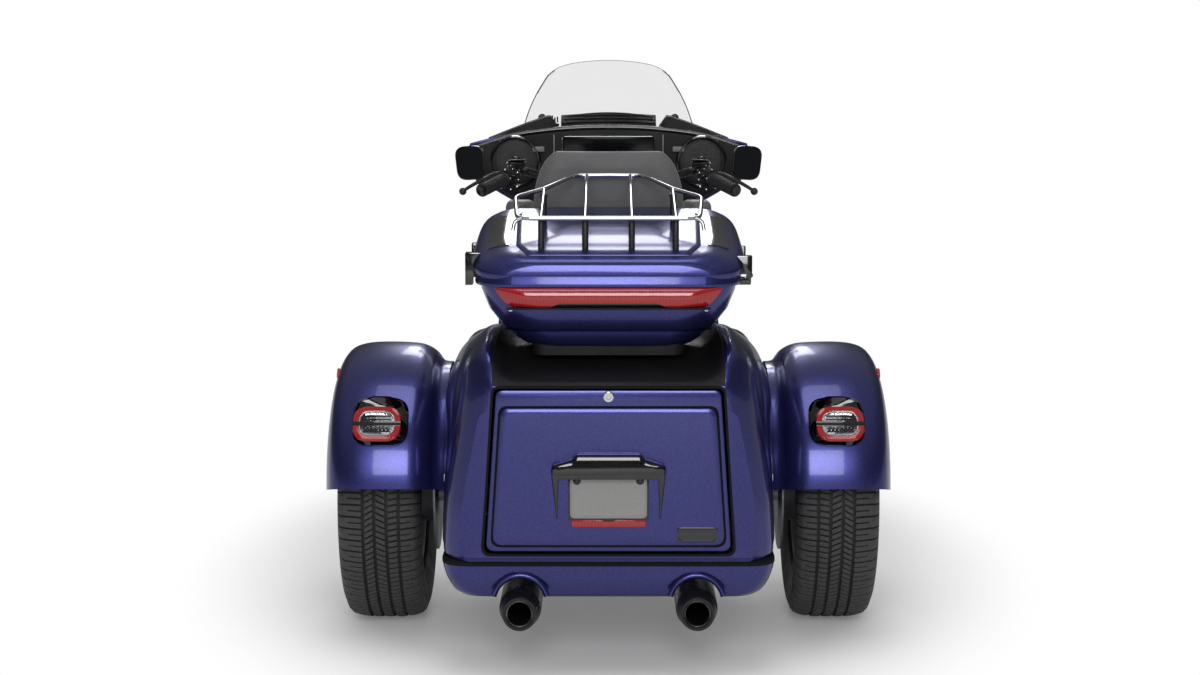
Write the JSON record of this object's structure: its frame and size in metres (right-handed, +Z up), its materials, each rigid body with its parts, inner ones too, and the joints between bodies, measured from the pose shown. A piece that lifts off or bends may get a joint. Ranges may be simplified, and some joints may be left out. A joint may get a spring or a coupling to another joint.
{
  "type": "motorized trike",
  "caption": "Touring motor tricycle: steered front wheel, driven rear pair, luggage body with drop-down door, hinged top case, windshield and passenger seat.",
  "frame": {"origin": "on the floor under the middle of the outer box", "axes": "+X to the vehicle's right, +Y forward, +Z up"},
  "size_m": [1.396, 2.672, 1.43],
  "materials": {
    "blue_paint": "metallic indigo blue, clear coated",
    "black_steel": "satin black paint and chrome",
    "grey_alloy": "cast and machined",
    "black_alloy": "black wrinkle coat",
    "black_plastic": "moulded satin black",
    "belt_rubber": "moulded",
    "seat_vinyl": "grained black vinyl",
    "red_lens": "clear moulded red",
    "chrome_steel": "polished",
    "lamp_glass": "clear lens over chrome bowl",
    "clear_shield": "clear acrylic sheet",
    "tyre_rubber": "moulded rubber"
  },
  "bodies": {
    "chassis": {"frame": "black_steel", "swingarm": "black_steel", "axle_housing": "black_steel", "engine_case": "black_alloy", "cylinders": "grey_alloy", "air_cleaner": "black_plastic", "drive_belt": "belt_rubber", "header_pipes": "black_steel", "mufflers": "black_steel", "fuel_tank": "blue_paint", "console": "black_plastic", "seat": "seat_vinyl", "backrest": "seat_vinyl", "armrests": "seat_vinyl", "side_covers": "blue_paint", "trunk_body": "blue_paint", "rear_valance": "blue_paint", "rear_fender_left": "blue_paint", "rear_fender_right": "blue_paint", "tail_lamps": "red_lens", "rear_calipers": "grey_alloy", "shock_absorbers": "black_steel", "case_bracket": "black_plastic", "top_case_base": "blue_paint", "case_hinges": "black_plastic", "light_bar": "red_lens", "engine_guard": "chrome_steel", "leg_shields": "blue_paint", "floorboards": "black_plastic", "foot_controls": "black_steel"},
    "steering": {"fork": "black_steel", "front_fender": "blue_paint", "front_caliper": "grey_alloy", "handlebar": "black_steel", "hand_grips": "belt_rubber", "hand_levers": "black_steel", "outer_fairing": "blue_paint", "inner_fairing": "black_plastic", "fairing_vent": "black_plastic", "windshield": "clear_shield", "headlamps": "lamp_glass", "mirrors": "black_plastic"},
    "front_wheel": {"front_tyre": "tyre_rubber", "front_rim": "grey_alloy"},
    "rear_wheel_left": {"rear_tyre_left": "tyre_rubber", "rear_rim_left": "grey_alloy"},
    "rear_wheel_right": {"rear_tyre_right": "tyre_rubber", "rear_rim_right": "grey_alloy"},
    "trunk_door": {"trunk_door": "blue_paint", "plate_holder": "black_plastic"},
    "case_lid": {"case_lid": "blue_paint", "lid_fittings": "black_plastic", "luggage_rack": "chrome_steel"}
  },
  "joints": [
    {"name": "steering_turn", "type": "hinge", "parent": "chassis", "child": "steering", "pos_m": [0, 0.69546, 0.85], "axis": [0, -0.4384, 0.8988], "range_deg": [-35, 35]},
    {"name": "front_wheel_spin", "type": "hinge", "parent": "steering", "child": "front_wheel", "pos_m": [0, 1.01, 0.32], "axis": [1, 0, 0], "continuous": true},
    {"name": "rear_wheel_left_spin", "type": "hinge", "parent": "chassis", "child": "rear_wheel_left", "pos_m": [-0.568, -0.66, 0.324], "axis": [1, 0, 0], "continuous": true},
    {"name": "rear_wheel_right_spin", "type": "hinge", "parent": "chassis", "child": "rear_wheel_right", "pos_m": [0.568, -0.66, 0.324], "axis": [1, 0, 0], "continuous": true},
    {"name": "trunk_door_swing", "type": "hinge", "parent": "chassis", "child": "trunk_door", "pos_m": [0, -1.29, 0.316], "axis": [1, 0, 0], "range_deg": [0, 85]},
    {"name": "case_lid_swing", "type": "hinge", "parent": "chassis", "child": "case_lid", "pos_m": [0.33, -1, 0.942], "axis": [0, 1, 0], "range_deg": [0, 80]}
  ]
}
